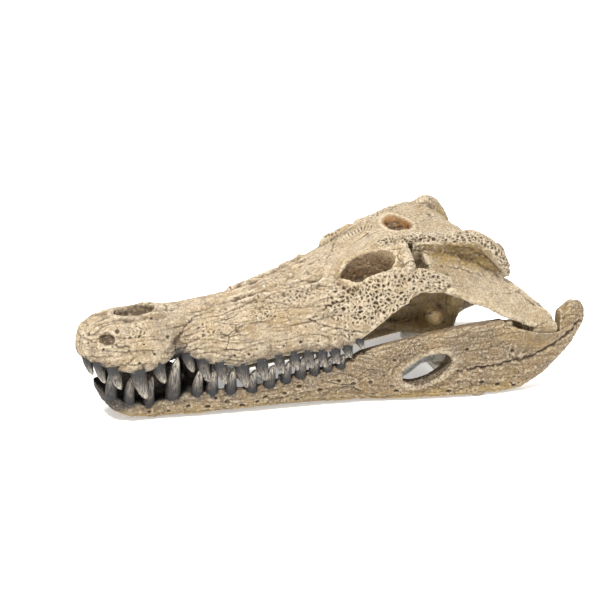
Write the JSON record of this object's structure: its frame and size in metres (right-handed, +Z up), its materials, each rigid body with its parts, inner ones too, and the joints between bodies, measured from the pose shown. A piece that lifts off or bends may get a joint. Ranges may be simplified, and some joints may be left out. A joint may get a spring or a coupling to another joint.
{
  "type": "bubbling aquarium ornament",
  "caption": "Air-driven aquarium ornament shaped as a crocodile skull: a hinged upper jaw that trapped air lifts and lets drop, on a cast lower jaw with rubber feet.",
  "frame": {"origin": "on the ground, under the middle of the skull at rest", "axes": "+X along the skull towards the jaw joint, snout at -X; +Y towards its right side; +Z up"},
  "size_m": [0.2408, 0.0944, 0.0806],
  "materials": {
    "skull_resin": "painted cast resin: cream bone with brown wash in the pits and chalky dry-brushed ridges",
    "jaw_resin": "painted cast resin: tan bone with dark speckles and ochre lower edge",
    "plastic": "black moulded plastic",
    "tube": "clear silicone tube",
    "steel": "stainless steel",
    "rubber": "matt black rubber",
    "nylon": "natural nylon"
  },
  "bodies": {
    "lower_jaw_base": {"air_inlet": "plastic", "air_nozzle": "plastic", "air_tube": "tube", "base_bridge": "plastic", "bridge_screw_left_front": "steel", "bridge_screw_left_rear": "steel", "bridge_screw_right_front": "steel", "bridge_screw_right_rear": "steel", "closing_bumper_left": "rubber", "closing_bumper_right": "rubber", "hinge_pin_left": "steel", "hinge_pin_right": "steel", "hinge_washer_left": "nylon", "hinge_washer_right": "nylon", "lower_jaw": "jaw_resin", "rubber_foot_left_front": "rubber", "rubber_foot_left_rear": "rubber", "rubber_foot_right_front": "rubber", "rubber_foot_right_rear": "rubber", "tube_clip_front": "plastic", "tube_clip_middle": "plastic", "tube_clip_rear": "plastic"},
    "upper_jaw": {"cranium": "skull_resin", "air_bell": "plastic", "bell_screw_front": "steel", "bell_screw_rear": "steel", "hinge_bush_left": "nylon", "hinge_bush_right": "nylon"}
  },
  "joints": [
    {"name": "jaw_hinge", "type": "hinge", "parent": "lower_jaw_base", "child": "upper_jaw", "pos_m": [0.099, 0, 0.03], "axis": [0, 1, 0], "range_deg": [0, 18]}
  ]
}
